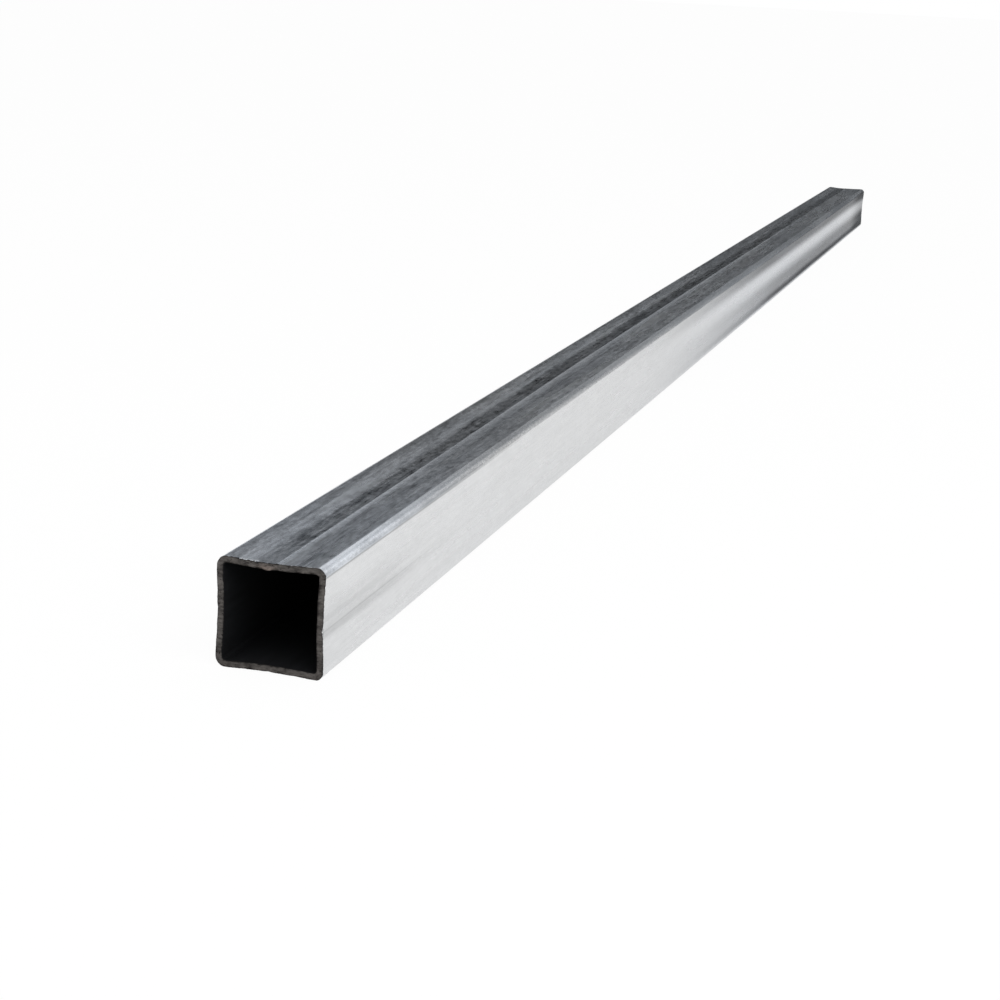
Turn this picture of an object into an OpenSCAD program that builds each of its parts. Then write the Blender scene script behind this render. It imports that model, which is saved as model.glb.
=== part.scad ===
// Galvanized square structural tube, one length of rolled and seam-welded steel.
// It lies along X on its bottom side. The origin is the middle of that side.
// The photographed end is at -X, the seam is in the top side.

/* [Section] */
// Width and height of the square section, outside
side = 25; // [15:0.5:60]
// Thickness of the strip that the tube is rolled from
wall = 1.5; // [0.8:0.1:3]
// Radius on the inside of the four rolled corners
bend_r = 0.7; // [0.3:0.1:3]
// How far the middle of each side is sunk below its edges
side_sink = 0.3; // [0.05:0.05:0.5]
// Flat land on each side between a rolled corner and the sunk middle
land = 1.2; // [0.4:0.1:2]

/* [Length] */
// Cut length of the tube
length = 1000; // [100:50:6000]

/* [Weld seam] */
// Distance of the seam from the middle of the top side, towards +Y
seam_y = 1; // [-3:0.1:3]
// Width of the strip where the outer weld flash is planed away
planed_w = 4.2; // [2:0.1:5]
// Depth of the planed strip at its deep edge, on the -Y side
planed_depth = 0.12; // [0.04:0.02:0.3]
// Width of the weld bead left inside the tube
bead_w = 2.2; // [1:0.1:3]
// Height of the weld bead left inside the tube
bead_h = 0.25; // [0.1:0.05:0.8]

/* [Hidden] */
$fn = 96;

corner_r = bend_r + wall;
bore = side - 2 * wall;
// The sunk middle of a side is a shallow arc, concentric on both faces of the strip
sink_half = side / 2 - corner_r - land;
sink_r = (sink_half * sink_half + side_sink * side_sink) / (2 * side_sink);
sink_centre = side / 2 - side_sink + sink_r;
// Faces of the top wall at its middle, from the centre of the section
top_outer = side / 2 - side_sink;
top_inner = top_outer - wall;
bead_r = (bead_w * bead_w / 4 + bead_h * bead_h) / (2 * bead_h);

// Square with four round corners, centred
module round_square(width, r) {
    flat = width - 2 * r;
    union() {
        square([width, flat], center = true);
        square([flat, width], center = true);
        for (x = [-1, 1], y = [-1, 1])
            translate([x * flat / 2, y * flat / 2]) circle(r);
    }
}

// One face of the rolled strip, bent round: a round square with four sunk sides
module rolled_outline(width, corner, arc_r) {
    difference() {
        round_square(width, corner);
        for (turn = [0 : 90 : 270])
            rotate(turn) translate([0, sink_centre]) circle(arc_r, $fn = 720);
    }
}

// What the planing tool takes off over the seam: nothing at the +Y edge, most at the -Y edge
module planing_cut() {
    near_edge = seam_y - planed_w / 2;
    far_edge = seam_y + planed_w / 2;
    polygon([
        [far_edge, top_outer],
        [near_edge, top_outer - planed_depth],
        [near_edge, side],
        [far_edge, side],
    ]);
}

// Weld bead on the inside of the top wall, a low round ridge that is rooted in the wall
module inner_bead() {
    root = wall / 2;
    clear_of_bead = 2 * bead_w;
    intersection() {
        translate([seam_y, top_inner - bead_h + bead_r]) circle(bead_r);
        translate([seam_y - clear_of_bead / 2, top_inner - bead_h])
            square([clear_of_bead, bead_h + root]);
    }
}

module section() {
    difference() {
        rolled_outline(side, corner_r, sink_r);
        rolled_outline(bore, bend_r, sink_r + wall);
        planing_cut();
    }
    inner_bead();
}

module tube() {
    color("#b9bec3")
        translate([-length / 2, 0, side / 2])
            rotate([90, 0, 90])
                linear_extrude(height = length) section();
}

tube();
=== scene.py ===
import math
import random

import bpy
from mathutils import Matrix, Vector, noise


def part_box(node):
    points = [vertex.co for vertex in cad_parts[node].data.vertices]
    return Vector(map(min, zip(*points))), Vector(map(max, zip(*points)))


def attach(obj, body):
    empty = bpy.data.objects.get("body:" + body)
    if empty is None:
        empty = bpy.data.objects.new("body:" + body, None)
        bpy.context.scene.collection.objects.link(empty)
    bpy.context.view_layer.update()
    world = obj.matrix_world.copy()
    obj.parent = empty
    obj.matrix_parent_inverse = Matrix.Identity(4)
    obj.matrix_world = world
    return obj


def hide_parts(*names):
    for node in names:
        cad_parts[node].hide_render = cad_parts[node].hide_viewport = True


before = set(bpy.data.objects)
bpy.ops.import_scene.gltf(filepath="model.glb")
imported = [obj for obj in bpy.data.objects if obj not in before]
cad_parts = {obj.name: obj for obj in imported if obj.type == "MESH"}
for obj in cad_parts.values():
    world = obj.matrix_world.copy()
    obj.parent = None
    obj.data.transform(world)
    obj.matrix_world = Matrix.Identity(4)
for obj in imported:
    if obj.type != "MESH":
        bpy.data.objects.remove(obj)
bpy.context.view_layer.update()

scene = bpy.context.scene
scene.view_settings.view_transform = "Standard"


# Camera. It stands in front of the open end, a little above the tube and to its bright side,
# and looks along it. The place and the turn come from the tube's own edges in the picture.
CAMERA_AT = Vector((-0.8727, -0.1553, 0.1449))
CAMERA_RIGHT = Vector((0.2850, -0.9572, 0.0506))
CAMERA_UP = Vector((0.2264, 0.1186, 0.9668))
LENS_MM = 71.05

camera_data = bpy.data.cameras.new("camera")
camera_data.lens = LENS_MM
camera_data.sensor_width = 36.0
camera_data.clip_start = 0.01
camera_data.clip_end = 200.0
camera = bpy.data.objects.new("camera", camera_data)
scene.collection.objects.link(camera)
camera_back = CAMERA_RIGHT.cross(CAMERA_UP).normalized()
camera_up = camera_back.cross(CAMERA_RIGHT).normalized()
camera.matrix_world = Matrix.Translation(CAMERA_AT) @ Matrix(
    (CAMERA_RIGHT.normalized(), camera_up, camera_back)
).transposed().to_4x4()
scene.camera = camera


# Tube. One length of steel strip, galvanized first, then rolled square and seam welded.
# The weld is planed off outside, which leaves a dull strip, and stays as a bead inside.
# The ends are sawn square, with small burrs and nicks round both edges of the wall.
MM = 0.001
SIDE, WALL, BEND_R = 25.0, 1.5, 0.7
SIDE_SINK, LAND = 0.3, 1.2
SEAM_Y, PLANED_W, PLANED_DEPTH = 1.0, 4.2, 0.12
BEAD_W, BEAD_H = 2.2, 0.25

half_side = SIDE / 2
corner_r = BEND_R + WALL
corner_at = half_side - corner_r
sink_half = corner_at - LAND
sink_r = (sink_half**2 + SIDE_SINK**2) / (2 * SIDE_SINK)
sink_centre = half_side - SIDE_SINK + sink_r
bead_r = (BEAD_W**2 / 4 + BEAD_H**2) / (2 * BEAD_H)
planed_from, planed_to = SEAM_Y - PLANED_W / 2, SEAM_Y + PLANED_W / 2
top_outer = half_side - SIDE_SINK
top_inner = top_outer - WALL


# Height of each face of the strip over the middle of the section, at a place across its side
def outer_face(across):
    if abs(across) >= sink_half:
        return half_side
    return sink_centre - math.sqrt(sink_r**2 - across**2)


def inner_face(across):
    return min(half_side - WALL, sink_centre - math.sqrt((sink_r + WALL) ** 2 - across**2))


def planed_face(across):
    return top_outer - PLANED_DEPTH * (planed_to - across) / PLANED_W


def bead_face(across):
    off = across - SEAM_Y
    if abs(off) >= BEAD_W / 2:
        return inner_face(across)
    return min(inner_face(across), top_inner - BEAD_H + bead_r - math.sqrt(bead_r**2 - off**2))


# Stations round the strip: a point of the outer face and the one below it on the inner face.
# The sizing rolls press the two corners on the -Y side nearly flat, and these meet the sides
# at creases. Each corner has a width and a share of flatness, from the one at +Y and +Z on.
SIDE_STEPS, CORNER_STEPS = 48, 12
CORNERS = ((2.1, 0.1), (2.1, 0.1), (1.4, 0.5), (1.6, 0.5))
CREASE = 0.08
stations = []
for turn in range(4):
    spots = [-corner_at, -corner_at + LAND / 2]
    spots += [sink_half * (2 * i / SIDE_STEPS - 1) for i in range(SIDE_STEPS + 1)]
    spots += [corner_at - LAND / 2, corner_at]
    pairs = []
    if turn == 0:
        spots += [planed_from, planed_to, SEAM_Y - BEAD_W / 2, SEAM_Y + BEAD_W / 2]
        spots = sorted(set(round(s, 4) for s in spots))
        for s in spots:
            planed = planed_from < s <= planed_to
            pairs.append(((s, planed_face(s) if planed else outer_face(s)), (s, bead_face(s))))
            if s == round(planed_from, 4):
                pairs.append(((s, planed_face(s)), (s, bead_face(s))))
    else:
        pairs = [((s, outer_face(s)), (s, inner_face(s))) for s in spots]
    corner_w, flatness = CORNERS[turn]
    bend_start = half_side - corner_w
    outer_path = [(bend_start - CREASE, half_side), (bend_start, half_side)]
    for i in range(1, CORNER_STEPS):
        along = i / CORNER_STEPS
        angle = math.radians(90) * (1 - along)
        reach = [
            bend_start + corner_w * (round_part * (1 - flatness) + flat_part * flatness)
            for round_part, flat_part in ((math.cos(angle), along), (math.sin(angle), 1 - along))
        ]
        outer_path.append(tuple(reach))
    outer_path += [(half_side, bend_start), (half_side, bend_start - CREASE)]
    for i, outer in enumerate(outer_path):
        angle = math.radians(90) * (1 - (i + 1) / (len(outer_path) + 1))
        inner = (corner_at + BEND_R * math.cos(angle), corner_at + BEND_R * math.sin(angle))
        pairs.append((outer, inner))
    for pair in pairs:
        for _ in range(turn):
            pair = tuple((up, -across) for across, up in pair)
        stations.append(pair)

lo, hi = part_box("tube")
LENGTH = (hi[0] - lo[0]) / MM
# Rings of points along the tube, close together at the ends for the burrs
END_RINGS = (0, 0.06, 0.14, 0.25, 0.4, 0.65, 1.0, 1.6, 2.5, 4, 6, 9, 13, 18, 24)
MIDDLE_STEP = 16.0
middle_count = round((LENGTH - 2 * END_RINGS[-1]) / MIDDLE_STEP)
middle = [
    END_RINGS[-1] + (LENGTH - 2 * END_RINGS[-1]) * i / middle_count for i in range(1, middle_count)
]
rings = list(END_RINGS) + middle + [LENGTH - d for d in reversed(END_RINGS)]


def wave(*place):
    """Smooth noise from -1 to 1."""
    return noise.noise(Vector(place))


# Burrs and nicks of the saw cuts. The burrs are waves, each with a height in mm, a number per mm
# and a place in the noise. A nick has a half width in stations and a depth in mm.
BURR_LENGTH, BURR_SINK = 0.16, 0.02
BURRS = ((0.10, 0.45, 5), (0.05, 2.1, 1))
NICKS_PER_END, NICK_WIDTHS, NICK_DEPTHS = 18, (1.5, 4.0), (0.05, 0.16)
dice = random.Random(11)
nicks = {
    end: [
        (dice.randrange(len(stations)), dice.uniform(*NICK_WIDTHS), dice.uniform(*NICK_DEPTHS))
        for _ in range(NICKS_PER_END)
    ]
    for end in (0, 1)
}
# The cut has a larger notch over the weld, where the planed strip ends
NOTCH_WIDTH, NOTCH_DEPTH = 3, 0.25
off_planed_edge = [abs(outer[0] - planed_to) + abs(outer[1] - top_outer) for outer, _ in stations]
notch_at = off_planed_edge.index(min(off_planed_edge))


def edge_shape(end, i, inner):
    """How far a burr stands out of the wall's edge, in mm, and less than nothing at a nick."""
    y, z = stations[i][inner]
    rise = -BURR_SINK
    for high, fine, start in BURRS:
        rise += high * wave(y * fine, z * fine, start + 9 * end + 3 * inner)
    for at, wide, deep in nicks[end][inner::2]:
        off = abs(i - at)
        off = min(off, len(stations) - off)
        if off < wide:
            rise -= deep * (1 - off / wide)
    if not inner:
        rise -= NOTCH_DEPTH * max(0.0, 1 - abs(i - notch_at) / NOTCH_WIDTH)
    return rise


def smooth_step(value, low, high):
    share = max(0.0, min(1.0, (value - low) / (high - low)))
    return share * share * (3 - 2 * share)


# The seam wanders towards +Y over the first third of the tube, and its neighbourhood with it
SEAM_DRIFT, DRIFT_FROM, DRIFT_TO = 1.55, 0.0, 300.0
DRIFT_WHOLE, DRIFT_NONE = 3.4, 8.5


def drift(x, y):
    beside = 1 - smooth_step(abs(y - SEAM_Y), DRIFT_WHOLE, DRIFT_NONE)
    return SEAM_DRIFT * smooth_step(x, DRIFT_FROM, DRIFT_TO) * beside


# Waviness of the sides: depth in mm, and waves per mm along the tube and across it
WAVINESS, WAVES_ALONG, WAVES_ACROSS = 0.035, 0.012, 0.05


def shaped(pair, i, x):
    """The two points of a station at a distance along the tube, with its waves and burrs."""
    near, far = x, LENGTH - x
    end, off = (0, near) if near < far else (1, far)
    out = []
    for inner in (0, 1):
        y, z = pair[inner]
        away = Vector((y, z)) - Vector(
            (max(-corner_at, min(corner_at, y)), max(-corner_at, min(corner_at, z)))
        )
        away.normalize()
        sunk = max(0.0, 1 - (min(abs(y), abs(z)) / sink_half) ** 2)
        push = WAVINESS * sunk * wave(x * WAVES_ALONG, y * WAVES_ACROSS, z * WAVES_ACROSS)
        burr = edge_shape(end, i, inner) * math.exp(-off / BURR_LENGTH)
        push += burr * (-1 if inner else 1)
        if z > corner_at and abs(y) < corner_at:
            y += drift(x, y)
        y, z = y + away.x * push, z + away.y * push
        out.append((max(-half_side, min(half_side, y)), max(-half_side, min(half_side, z))))
    return out


def place(x, y, z):
    return ((x - LENGTH / 2) * MM, y * MM, (z + half_side) * MM)


count = len(stations)
verts, faces, finishes, depths = [], [], [], []
OUTSIDE, SAWN, BORE = 0, 1, 2
# Unevenness of the cut along its edges and over the wall: depth in mm and waves per mm
EDGE_RAG, EDGE_RAG_WAVES = 0.05, 1.7
WALL_RAG, WALL_RAG_WAVES = 0.03, 2.3
for x in rings:
    pairs = [shaped(pair, i, x) for i, pair in enumerate(stations)]
    end = 0 if x < LENGTH / 2 else 1
    for inner in (0, 1):
        for i, pair in enumerate(pairs):
            y, z = pair[inner]
            rag = 0.0
            if x in (0, LENGTH):
                rag = EDGE_RAG * (1 + wave(y * EDGE_RAG_WAVES, z * EDGE_RAG_WAVES, 20 + end))
                rag *= 1 if end == 0 else -1
            verts.append(place(x + rag, y, z))
            depths.append(inner)
for r in range(len(rings) - 1):
    for inner, finish in ((0, OUTSIDE), (1, BORE)):
        here, there = (2 * r + inner) * count, (2 * r + 2 + inner) * count
        for i in range(count):
            k = (i + 1) % count
            quad = (here + i, there + i, there + k, here + k)
            faces.append(quad if inner == 0 else quad[::-1])
            finishes.append(finish)
WALL_STEPS = 5
for end, r in ((0, 0), (1, len(rings) - 1)):
    last = [(2 * r) * count + i for i in range(count)]
    for step in range(1, WALL_STEPS + 1):
        if step == WALL_STEPS:
            this = [(2 * r + 1) * count + i for i in range(count)]
        else:
            this = []
            for i in range(count):
                a, b = Vector(verts[2 * r * count + i]), Vector(verts[(2 * r + 1) * count + i])
                p = a.lerp(b, step / WALL_STEPS)
                waves = WALL_RAG_WAVES / MM
                rag = WALL_RAG * (1 + wave(p.y * waves, p.z * waves, 40 + end))
                p.x += rag * MM * (1 if end == 0 else -1)
                this.append(len(verts))
                verts.append(tuple(p))
                depths.append(step / WALL_STEPS)
        for i in range(count):
            k = (i + 1) % count
            quad = (last[i], last[k], this[k], this[i])
            faces.append(quad if end == 0 else quad[::-1])
            finishes.append(SAWN)
        last = this

tube_mesh = bpy.data.meshes.new("galvanized_tube")
tube_mesh.from_pydata(verts, [], faces)
tube_mesh.polygons.foreach_set("material_index", finishes)
tube_mesh.polygons.foreach_set("use_smooth", [True] * len(faces))
SHARP_DEGREES = 32
tube_mesh.set_sharp_from_angle(angle=math.radians(SHARP_DEGREES))
across_wall = tube_mesh.attributes.new("across_wall", "FLOAT", "POINT")
across_wall.data.foreach_set("value", depths)
tube_mesh.validate()
tube = bpy.data.objects.new("galvanized_tube", tube_mesh)
scene.collection.objects.link(tube)


def linear(hex_colour):
    """An sRGB hex colour as linear red, green, blue and alpha."""
    parts = [int(hex_colour[i : i + 2], 16) / 255 for i in (1, 3, 5)]
    return [c / 12.92 if c <= 0.04045 else ((c + 0.055) / 1.055) ** 2.4 for c in parts] + [1.0]


def add(tree, kind, settings, inputs, output=0):
    """Adds a node and returns one of its outputs. An input gets a value, or a link to an output."""
    made = tree.nodes.new("ShaderNode" + kind)
    for name, value in settings.items():
        setattr(made, name, value)
    for name, value in inputs.items():
        if isinstance(value, bpy.types.NodeSocket):
            tree.links.new(value, made.inputs[name])
        else:
            made.inputs[name].default_value = value
    return made.outputs[output]


def start_material(name):
    """A new material, its node tree and shader, and the place on the piece in millimetres."""
    material = bpy.data.materials.new(name)
    material.use_nodes = True
    tree = material.node_tree
    metres = add(tree, "TexCoord", {}, {}, "Object")
    at = add(tree, "VectorMath", {"operation": "SCALE"}, {0: metres, "Scale": 1 / MM})
    return material, tree, tree.nodes["Principled BSDF"], at


# Hot dip zinc, rolled with the strip: a satin metal coat with lengthwise roll marks, fine grain
# and grey bloom. Strip this thin shows no large spangle. The seam side is dull, and is painted
# darker still as painted shade.
zinc, tree, shader, at = start_material("hot dip zinc coat")
split = add(tree, "SeparateXYZ", {}, {0: at}).node
where = dict(zip("xyz", split.outputs))
for axis in "xy":
    where["beside " + axis] = add(tree, "Math", {"operation": "ABSOLUTE"}, {0: where[axis]})

# Noise patterns, by the length along the tube and the width across it, in mm, of their marks.
# The real grain is finer, and is drawn as coarse as the picture needs to show it.
marks = {}
for name, length, width, detail, roughness in (
    ("roll lines", 28.0, 0.7, 3.0, 0.65),
    ("grain", 3.6, 1.1, 4.0, 0.7),
    ("specks", 1.1, 0.6, 2.0, 0.65),
    ("clouds", 12.0, 4.5, 2.0, 0.5),
    ("bloom", 75.0, 4.5, 2.0, 0.5),
    ("cross strokes", 0.9, 3.0, 3.0, 0.7),
    ("teeth", 3.0, 3.0, 3.0, 0.7),
):
    drawn = add(tree, "VectorMath", {"operation": "MULTIPLY"}, {0: at, 1: (width / length, 1, 1)})
    inputs = {"Vector": drawn, "Scale": 1 / width, "Detail": detail, "Roughness": roughness}
    marks[name] = add(tree, "TexNoise", {}, inputs)
for name, source, low, high in (
    ("light specks", "specks", 0.46, 0.72),
    ("light patches", "clouds", 0.42, 0.60),
    ("light strokes", "cross strokes", 0.44, 0.62),
):
    inputs = {"Value": marks[source], "From Min": low, "From Max": high}
    marks[name] = add(tree, "MapRange", {}, inputs)

# Distance across the top side from the wandering seam, and the same with a ragged edge
RAGGED_BY = 2.4
where["drift"] = add(
    tree,
    "MapRange",
    {"interpolation_type": "SMOOTHSTEP"},
    {
        "Value": where["x"],
        "From Min": DRIFT_FROM - LENGTH / 2,
        "From Max": DRIFT_TO - LENGTH / 2,
        "To Max": SEAM_DRIFT,
    },
)
where["seam"] = add(tree, "Math", {"operation": "SUBTRACT"}, {0: where["y"], 1: where["drift"]})
where["ragged"] = add(
    tree, "Math", {"operation": "MULTIPLY_ADD"}, {0: marks["teeth"], 1: RAGGED_BY, 2: where["seam"]}
)

# Zones of the coat, each the product of soft steps from 0 to 1 between two places in mm
zones = {}
for name, steps in {
    "seam side": (("beside y", 10.9, 10.4), ("z", 23.0, 23.3)),
    # Corner zones: painted shade overall and far off, painted highlights near and mid
    "corner": (("beside y", 10.7, 11.1), ("z", 23.2, 23.6)),
    "corner near highlight": (("beside y", 10.7, 11.1), ("z", 23.0, 23.3), ("x", -400.0, -495.0)),
    "corner middle highlight": (("beside y", 10.7, 11.1), ("z", 23.2, 23.6), ("x", -330.0, -200.0)),
    "corner far shade": (("beside y", 10.7, 11.1), ("z", 23.2, 23.6), ("x", 0.0, 200.0)),
    "bright face": (("y", -12.0, -12.2),),
    # Painted reflection: the near left of the seam side is lighter
    "near left sheen": (("seam", 1.5, 4.5), ("seam", 10.2, 8.6), ("x", -445.0, -490.0)),
    "near right": (("seam", -1.3, -2.5), ("x", -400.0, -490.0)),
    # Painted light: the seam side is lighter over the middle of its length
    "middle": (("x", -488.0, -450.0), ("x", -180.0, -330.0)),
    "right": (("seam", -5.5, -8.5), ("x", 300.0, -100.0)),
    # Painted shade: the seam side loses shine towards the far end
    "far": (("x", -320.0, 100.0),),
    # Painted reflection: colder tint near the -X end and on the bright face's far part
    "cold": (("x", -360.0, -480.0), ("z", 22.9, 23.3)),
    "cold far": (("x", -250.0, 150.0), ("y", -12.0, -12.2)),
    "planed": (("ragged", 6.1, 3.4), ("seam", -1.3, -1.15), ("x", -496.0, -476.0)),
    "planed end": (("ragged", 6.1, 3.4), ("seam", -1.3, -1.15)),
    # Painted highlight along the seam side's far half, beside the planed strip
    "highlight strip": (("ragged", 3.4, 6.1), ("seam", 8.6, 4.2), ("x", 200.0, -250.0)),
    "far edge": (("seam", 7.6, 9.6), ("x", -470.0, -380.0)),
    "lip": (("seam", -1.15, -1.35), ("seam", -3.5, -1.6), ("x", 420.0, -200.0)),
    "lip foot": (
        ("seam", -2.0, -2.8), ("seam", -5.2, -3.4), ("x", -430.0, -340.0), ("x", 250.0, -100.0)
    ),
    "lip line": (("seam", -1.1, -1.3), ("seam", -2.1, -1.4), ("x", 400.0, 0.0)),
    # Painted shade: the bright face darkens towards the +X end
    "far end": (("y", -12.0, -12.2), ("x", 420.0, 498.0)),
    # Painted shadow of a dent, which the shape doesn't have
    "near dent shadow": (("z", 8.2, 9.8), ("z", 12.0, 10.4), ("x", -395.0, -480.0)),
    "near line": (("z", 10.6, 10.9), ("z", 11.2, 10.9), ("x", -405.0, -450.0)),
    "near cloud": (("z", 7.5, 12.0), ("z", 19.0, 14.0), ("x", -425.0, -475.0)),
    # Painted shade in the crease under the corner band
    "crease": (("z", 22.6, 22.9), ("z", 24.6, 23.3), ("x", -330.0, -440.0)),
    "near streak": (("z", 12.4, 13.2), ("z", 14.6, 13.6), ("x", -430.0, -480.0)),
    # Painted shade on the far part of the bright face: upper, lower and at its foot
    "upper shade": (("y", -12.0, -12.2), ("z", 16.5, 21.5), ("z", 23.7, 23.4), ("x", -240.0, 130.0)),
    "lower shade": (("y", -12.0, -12.2), ("z", 15.5, 8.5), ("z", 1.4, 2.2), ("x", -230.0, 230.0)),
    "foot": (("y", -12.0, -12.2), ("z", 6.0, 3.4), ("z", 1.9, 2.9), ("x", -180.0, 150.0)),
}.items():
    zone = 1.0
    for source, low, high in steps:
        settings = {"interpolation_type": "SMOOTHSTEP"}
        inputs = {"Value": where[source], "From Min": low, "From Max": high}
        step = add(tree, "MapRange", settings, inputs)
        zone = add(tree, "Math", {"operation": "MULTIPLY"}, {0: zone, 1: step})
    zones[name] = zone

# Brightness of the coat, and the share of its shine that it keeps at a low angle, where most of
# the wear shows and much painted light and shade too. Each is a level, plus zones and marks by
# their strengths.
tones = {}
for name, level, layers in (
    (
        # Painted shade: the low level darkens the whole seam side
        "seam side",
        -0.08,
        (
            (None, "grain", 0.49),
            (None, "specks", 0.22),
            (None, "clouds", 0.12),
            (None, "roll lines", 0.25),
            (None, "bloom", 0.10),
            # Painted reflection, lighter near left
            ("near left sheen", None, 0.07),
            ("near right", None, -0.05),
            # Painted highlight strip
            ("highlight strip", None, 0.08),
            ("highlight strip", "clouds", 0.10),
            ("far edge", None, -0.10),
            # Painted light over the middle of the length
            ("middle", None, 0.03),
            ("planed", None, -0.30),
            ("planed end", None, -0.05),
            ("planed", "cross strokes", 0.34),
            ("lip", None, 0.09),
            ("lip", "light strokes", 0.16),
            ("lip line", None, 0.08),
            ("lip line", "light specks", 0.16),
        ),
    ),
    (
        # Painted shade: the low shine darkens the whole seam side at a low angle
        "seam side shine",
        -1.03,
        (
            (None, "grain", 1.55),
            (None, "specks", 0.40),
            (None, "clouds", 0.20),
            (None, "roll lines", 1.15),
            # Painted shade towards the far end
            ("far", None, -0.13),
            # Painted highlight strip
            ("highlight strip", None, 0.16),
            ("highlight strip", "clouds", 0.10),
            ("far edge", None, -0.20),
            # Painted light over the middle of the length
            ("middle", None, 0.05),
            ("right", None, 0.04),
            ("planed", None, -0.47),
            ("planed", "cross strokes", 0.58),
            ("lip", None, 0.38),
            ("lip", "light strokes", 0.45),
            ("lip foot", None, 0.17),
            ("lip line", None, 0.36),
            ("lip line", "light specks", 0.45),
        ),
    ),
    (
        "other sides",
        0.56,
        (
            (None, "grain", 0.18),
            (None, "clouds", 0.08),
            (None, "roll lines", 0.16),
            (None, "bloom", 0.10),
            # Painted shade and painted highlights on the corner band
            ("corner", None, -0.12),
            ("corner middle highlight", None, 0.07),
            ("corner", "light specks", 0.12),
            ("corner near highlight", None, 0.15),
            ("corner near highlight", "light patches", 0.15),
        ),
    ),
    (
        "other sides shine",
        1.0,
        (
            # Painted shade and painted highlights on the corner band
            ("corner", None, -0.35),
            ("corner middle highlight", None, 0.10),
            ("corner", "light specks", 0.50),
            ("corner near highlight", None, 0.20),
            ("corner near highlight", "light patches", 0.35),
            ("corner far shade", None, -0.30),
            # Painted shade on the bright face: upper, lower, foot and far end
            ("upper shade", None, -0.72),
            ("lower shade", None, -0.62),
            ("foot", None, -0.34),
            ("far end", None, -0.40),
            # Painted shade in the crease
            ("crease", None, -0.45),
        ),
    ),
    (
        "bright face",
        0.0,
        (
            # Painted dent shadow
            ("near dent shadow", None, -0.13),
            ("near line", None, -0.11),
            ("near cloud", None, -0.09),
            # Painted shade in the crease
            ("crease", None, -0.20),
            ("near streak", None, -0.07),
        ),
    ),
):
    tone = level
    for zone, mark, strength in layers:
        part = zones[zone] if zone else marks[mark]
        if zone and mark:
            part = add(tree, "Math", {"operation": "MULTIPLY"}, {0: zones[zone], 1: marks[mark]})
        tone = add(tree, "Math", {"operation": "MULTIPLY_ADD"}, {0: part, 1: strength, 2: tone})
    tones[name] = tone
others = add(
    tree,
    "Math",
    {"operation": "MULTIPLY_ADD"},
    {0: tones["bright face"], 1: zones["bright face"], 2: tones["other sides"]},
)
tone = add(tree, "Mix", {}, {0: zones["seam side"], 2: others, 3: tones["seam side"]})
# The saw tears the coat off the last quarter of a millimetre, in spots
TORN_FROM, TORN_TO = LENGTH / 2 - 0.35, LENGTH / 2 - 0.15
settings = {"interpolation_type": "SMOOTHSTEP"}
inputs = {"Value": where["beside x"], "From Min": TORN_FROM, "From Max": TORN_TO}
torn = add(tree, "MapRange", settings, inputs)
tear = add(tree, "Math", {"operation": "MULTIPLY_ADD"}, {0: marks["specks"], 1: 3.0, 2: -1.8})
tone = add(tree, "Math", {"operation": "MULTIPLY_ADD"}, {0: torn, 1: tear, 2: tone})
# The coat is painted a colder tint near the -X end and on the far part of the bright side, a
# painted reflection of cool light. A Mix node's inputs 2 and 3 are numbers, and 6 and 7 are
# colours, which come out of output 2.
COLD_FAR = 0.6
inputs = {0: zones["cold far"], 1: COLD_FAR, 2: zones["cold"]}
cold = add(tree, "Math", {"operation": "MULTIPLY_ADD"}, inputs)
light = add(
    tree,
    "Mix",
    {"data_type": "RGBA"},
    {0: cold, 6: linear("#ecedee"), 7: linear("#e8edf4")},
    2,
)
colour = add(tree, "Mix", {"data_type": "RGBA"}, {0: tone, 6: linear("#1f2327"), 7: light}, 2)
tree.links.new(colour, shader.inputs["Base Color"])
shader.inputs["Metallic"].default_value = 1.0
shine = {0: zones["seam side"], 2: tones["other sides shine"], 3: tones["seam side shine"]}
tree.links.new(add(tree, "Mix", {}, shine), shader.inputs["Specular Tint"])
SMOOTH, ROUGH = 0.22, 0.30
inputs = {"Value": marks["bloom"], "From Min": 0.3, "From Max": 0.7}
inputs.update({"To Min": SMOOTH, "To Max": ROUGH})
tree.links.new(add(tree, "MapRange", {}, inputs), shader.inputs["Roughness"])
height = add(tree, "Math", {"operation": "ADD"}, {0: marks["roll lines"], 1: marks["specks"]})
chatter = {0: marks["cross strokes"], 1: zones["planed end"], 2: height}
height = add(tree, "Math", {"operation": "MULTIPLY_ADD"}, chatter)
RELIEF_MM = 0.02
bump = add(tree, "Bump", {}, {"Strength": 0.5, "Distance": RELIEF_MM * MM, "Height": height})
tree.links.new(bump, shader.inputs["Normal"])

# Sawn steel: the bare cut of the wall, dark and brownish, with fine lines from the blade and
# small pits. The steel round the weld took on a paler, warmer colour from the heat. The cut at
# +X is painted lighter, as painted light against the shade that falls on it.
sawn, tree, shader, at = start_material("sawn mild steel")
split = add(tree, "SeparateXYZ", {}, {0: at}).node
blade_lines = add(tree, "VectorMath", {"operation": "MULTIPLY"}, {0: at, 1: (1, 0.6, 2.0)})
blade_marks = add(
    tree, "TexNoise", {}, {"Vector": blade_lines, "Scale": 1.0, "Detail": 4.0, "Roughness": 0.7}
)
stains = add(tree, "TexNoise", {}, {"Vector": at, "Scale": 0.35, "Detail": 3.0})
pits = add(tree, "TexNoise", {}, {"Vector": at, "Scale": 1.6, "Detail": 2.0})
pits = add(tree, "MapRange", {}, {"Value": pits, "From Min": 0.62, "From Max": 0.72})
tone = add(tree, "Math", {"operation": "ADD"}, {0: blade_marks, 1: stains})
tone = add(tree, "MapRange", {}, {"Value": tone, "From Min": 0.7, "From Max": 1.3})
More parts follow.
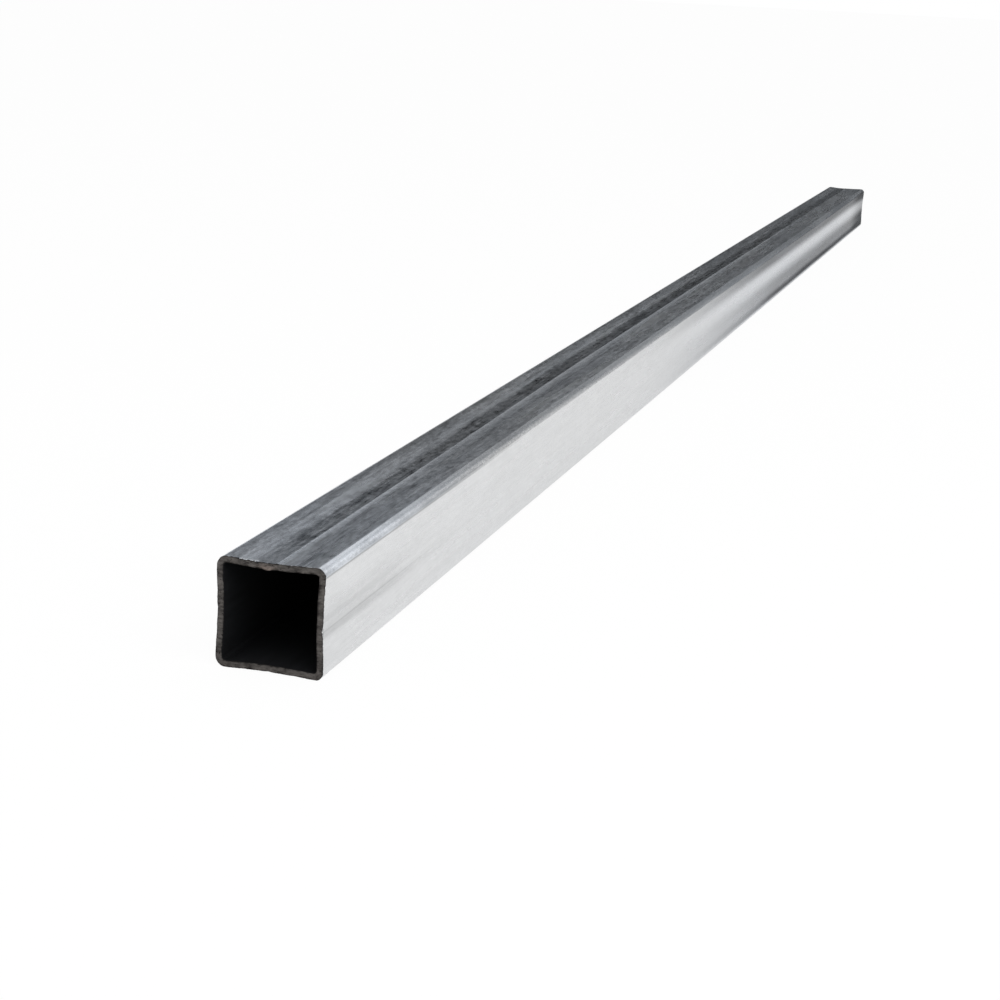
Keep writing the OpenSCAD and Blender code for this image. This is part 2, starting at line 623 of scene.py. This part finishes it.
# Painted shade, dark along both rims of the wall, where the cut's edge is rounded over
across = add(tree, "Attribute", {"attribute_name": "across_wall"}, {}, "Fac")
off_middle = add(tree, "Math", {"operation": "SUBTRACT"}, {0: across, 1: 0.5})
off_middle = add(tree, "Math", {"operation": "ABSOLUTE"}, {0: off_middle})
rim_shade = add(tree, "MapRange", {}, {"Value": off_middle, "From Min": 0.28, "From Max": 0.5})
for part, strength in ((pits, -0.45), (rim_shade, -0.35)):
    tone = add(tree, "Math", {"operation": "MULTIPLY_ADD"}, {0: part, 1: strength, 2: tone})
from_weld = add(tree, "Math", {"operation": "SUBTRACT"}, {0: split.outputs["Y"], 1: SEAM_Y})
from_weld = add(tree, "Math", {"operation": "ABSOLUTE"}, {0: from_weld})
HEATED_LEAST, HEATED_MOST, TOP_WALL_FROM, TOP_WALL_TO = 3.2, 0.6, 20.0, 21.0
inputs = {"Value": from_weld, "From Min": HEATED_LEAST, "From Max": HEATED_MOST}
heated = add(tree, "MapRange", {"interpolation_type": "SMOOTHSTEP"}, inputs)
inputs = {"Value": split.outputs["Z"], "From Min": TOP_WALL_FROM, "From Max": TOP_WALL_TO}
above = add(tree, "MapRange", {}, inputs)
heated = add(tree, "Math", {"operation": "MULTIPLY"}, {0: heated, 1: above})
heated = add(tree, "Math", {"operation": "MULTIPLY"}, {0: heated, 1: across})
lighter = add(
    tree, "Mix", {"data_type": "RGBA"}, {0: heated, 6: linear("#6e6a67"), 7: linear("#a3958d")}, 2
)
colour = add(tree, "Mix", {"data_type": "RGBA"}, {0: tone, 6: linear("#252322"), 7: lighter}, 2)
# Painted light: the cut at +X gets lighter colours
far_cut_painted_lighter = add(
    tree, "Mix", {"data_type": "RGBA"}, {0: tone, 6: linear("#6f6c6a"), 7: linear("#c2bebb")}, 2
)
at_far_end = add(tree, "Math", {"operation": "GREATER_THAN"}, {0: split.outputs["X"], 1: 0.0})
colour = add(tree, "Mix", {"data_type": "RGBA"}, {0: at_far_end, 6: colour, 7: far_cut_painted_lighter}, 2)
tree.links.new(colour, shader.inputs["Base Color"])
shader.inputs["Metallic"].default_value = 1.0
shader.inputs["Roughness"].default_value = 0.55
BLADE_MM = 0.05
bump = add(tree, "Bump", {}, {"Strength": 0.8, "Distance": BLADE_MM * MM, "Height": blade_marks})
tree.links.new(bump, shader.inputs["Normal"])

# Bore: the strip's inner face, dull and dark with mill scale and dust, and painted shade
bore, tree, shader, at = start_material("mill scale and shade in the bore")
long_lines = add(tree, "VectorMath", {"operation": "MULTIPLY"}, {0: at, 1: (0.1, 1, 1)})
scale_marks = add(tree, "TexNoise", {}, {"Vector": long_lines, "Scale": 0.8, "Detail": 3.0})
# Near black: mill scale, darkened further as painted shade of the deep bore
inputs = {0: scale_marks, 6: linear("#0c0c0d"), 7: linear("#1b1c1e")}
colour = add(tree, "Mix", {"data_type": "RGBA"}, inputs, 2)
tree.links.new(colour, shader.inputs["Base Color"])
shader.inputs["Roughness"].default_value = 0.75
shader.inputs["Specular IOR Level"].default_value = 0.1

for finish in (zinc, sawn, bore):
    tube_mesh.materials.append(finish)
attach(tube, "root")
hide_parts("tube")


# Floor. A large plain white board. The camera sees mostly its own white, and the metal mirrors
# a small share of that. The rest is the light that falls on it, with the tube's soft shadow.
FLOOR_HALF, FLOOR_DROP = 60.0, 0.05 * MM
CAMERA_SHARE, MIRROR_SHARE = 0.95, 0.2
floor_mesh = bpy.data.meshes.new("floor")
corners = ((-1, -1), (1, -1), (1, 1), (-1, 1))
floor_mesh.from_pydata(
    [(x * FLOOR_HALF, y * FLOOR_HALF, -FLOOR_DROP) for x, y in corners], [], [(0, 1, 2, 3)]
)
floor = bpy.data.objects.new("floor", floor_mesh)
scene.collection.objects.link(floor)
white_board = bpy.data.materials.new("white board")
white_board.use_nodes = True
tree = white_board.node_tree
shader = tree.nodes["Principled BSDF"]
shader.inputs["Base Color"].default_value = linear("#f2f2f2")
shader.inputs["Roughness"].default_value = 0.9
shader.inputs["Specular IOR Level"].default_value = 0.0
own_white = add(tree, "Emission", {}, {"Color": linear("#ffffff"), "Strength": 1.0})
path = add(tree, "LightPath", {}, {}).node.outputs
mirrored = add(
    tree, "Math", {"operation": "ADD"}, {0: path["Is Glossy Ray"], 1: path["Is Transmission Ray"]}
)
share = add(tree, "Math", {"operation": "MULTIPLY"}, {0: path["Is Camera Ray"], 1: CAMERA_SHARE})
share = add(tree, "Math", {"operation": "MULTIPLY_ADD"}, {0: mirrored, 1: MIRROR_SHARE, 2: share})
board = add(tree, "MixShader", {}, {0: share, 1: shader.outputs[0], 2: own_white})
tree.links.new(board, tree.nodes["Material Output"].inputs["Surface"])
floor_mesh.materials.append(white_board)


# Light. An even white room, one large soft lamp over the bright side for the soft shadow, and
# a grey card beyond the far end. The metal doesn't mirror the lamp, and the tube's top side
# mirrors the card, which the camera doesn't see.
ROOM_LIGHT, ROOM_WHITE = 0.75, 1.0
world = bpy.data.worlds.new("white room")
scene.world = world
world.use_nodes = True
tree = world.node_tree
room_light = add(tree, "Background", {}, {"Color": linear("#ffffff"), "Strength": ROOM_LIGHT})
room_white = add(tree, "Background", {}, {"Color": linear("#ffffff"), "Strength": ROOM_WHITE})
path = add(tree, "LightPath", {}, {}).node.outputs
seen = path["Is Camera Ray"]
seen = add(tree, "Math", {"operation": "ADD"}, {0: seen, 1: path["Is Glossy Ray"]})
seen = add(tree, "Math", {"operation": "ADD"}, {0: seen, 1: path["Is Transmission Ray"]})
room = add(tree, "MixShader", {}, {0: seen, 1: room_light, 2: room_white})
tree.links.new(room, tree.nodes["World Output"].inputs["Surface"])

LAMP_SIZE, LAMP_WATTS = 1.0, 9.0
lamp_data = bpy.data.lights.new("soft lamp", "AREA")
lamp_data.size = LAMP_SIZE
lamp_data.energy = LAMP_WATTS
lamp = bpy.data.objects.new("soft lamp", lamp_data)
LAMP_AT = Vector((-0.9, -0.7, 0.8))
LAMP_TO = Vector((-0.5, 0.0, 0.0))
lamp.location = LAMP_AT
lamp.rotation_euler = (LAMP_TO - LAMP_AT).to_track_quat("-Z", "Y").to_euler()
scene.collection.objects.link(lamp)
lamp.visible_glossy = False

CARD_X, CARD_Y, CARD_TOP = 1.5, (-0.55, 2.0), 0.92
card_mesh = bpy.data.meshes.new("grey_card")
corners = [(CARD_Y[0], 0.0), (CARD_Y[1], 0.0), (CARD_Y[1], CARD_TOP), (CARD_Y[0], CARD_TOP)]
card_mesh.from_pydata([(CARD_X, y, z) for y, z in corners], [], [(0, 1, 2, 3)])
card = bpy.data.objects.new("grey_card", card_mesh)
scene.collection.objects.link(card)
grey_card = bpy.data.materials.new("grey card")
grey_card.use_nodes = True
shader = grey_card.node_tree.nodes["Principled BSDF"]
shader.inputs["Base Color"].default_value = linear("#8d9298")
shader.inputs["Roughness"].default_value = 0.9
card_mesh.materials.append(grey_card)
card.visible_camera = False
card.visible_diffuse = False
card.visible_shadow = False
card.visible_transmission = False
